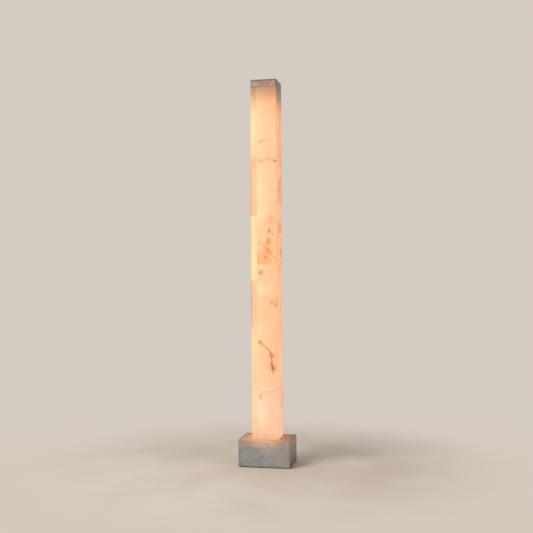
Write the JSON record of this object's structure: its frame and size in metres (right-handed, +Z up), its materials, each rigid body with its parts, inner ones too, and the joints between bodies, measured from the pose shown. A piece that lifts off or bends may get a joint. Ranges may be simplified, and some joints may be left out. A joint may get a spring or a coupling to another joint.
{
  "type": "floor lamp",
  "caption": "Square column floor lamp: tall internally lit alabaster slab column on a low rectangular stone block, with a flush lift-off stone cap.",
  "frame": {"origin": "on the floor, under the middle of the base", "axes": "+Z up along the column, +X to the lamp's right seen from the front, +Y to the back, where the cord inlet is; the front faces -Y"},
  "size_m": [0.25, 0.17, 1.83],
  "materials": {
    "grey_stone": "honed and sealed, soft cloudy mottling, darker along the edges, faint gloss",
    "alabaster": "honed translucent stone, lit from behind, orange-brown veins and patches",
    "plate_steel": "fine matt black powder coat",
    "zinc_steel": "bright zinc plate",
    "black_rubber": "matt",
    "black_plastic": "fine moulded texture",
    "white_plastic": "moulded, satin",
    "lead_sheath": "smooth sheath",
    "brass": "turned",
    "mast_aluminium": "satin anodised, fine lines along the extrusion",
    "led_board": "white solder mask with warm emitters",
    "gasket_foam": "closed-cell foam"
  },
  "bodies": {
    "lamp": {"base_block": "grey_stone", "front_slab_lower": "alabaster", "front_slab_middle": "alabaster", "front_slab_upper": "alabaster", "right_slab_lower": "alabaster", "right_slab_upper": "alabaster", "back_slab_lower": "alabaster", "back_slab_upper": "alabaster", "left_slab_lower": "alabaster", "left_slab_middle": "alabaster", "left_slab_upper": "alabaster", "base_plate": "plate_steel", "column_shoe": "plate_steel", "base_plate_screws": "zinc_steel", "driver_screws": "zinc_steel", "terminal_screws": "zinc_steel", "shoe_bolts": "zinc_steel", "shoe_washers": "zinc_steel", "mast_foot_screws": "zinc_steel", "baffle_screws": "zinc_steel", "foot_front_left": "black_rubber", "foot_front_right": "black_rubber", "foot_back_left": "black_rubber", "foot_back_right": "black_rubber", "cable_gland": "black_plastic", "gland_nut": "black_plastic", "led_driver": "white_plastic", "terminal_block": "white_plastic", "input_lead": "lead_sheath", "output_lead": "lead_sheath", "earth_terminal": "brass", "light_mast": "mast_aluminium", "mast_foot": "mast_aluminium", "top_baffle": "mast_aluminium", "led_strip_front": "led_board", "led_strip_right": "led_board", "led_strip_back": "led_board", "led_strip_left": "led_board", "junction_board": "led_board"},
    "cap": {"top_cap": "grey_stone", "cap_spigot": "mast_aluminium", "spigot_screws": "zinc_steel", "cap_gasket": "gasket_foam"}
  },
  "joints": [
    {"name": "cap_lift", "type": "slide", "parent": "lamp", "child": "cap", "axis": [0, 0, 1], "range_m": [0, 0.06]}
  ]
}
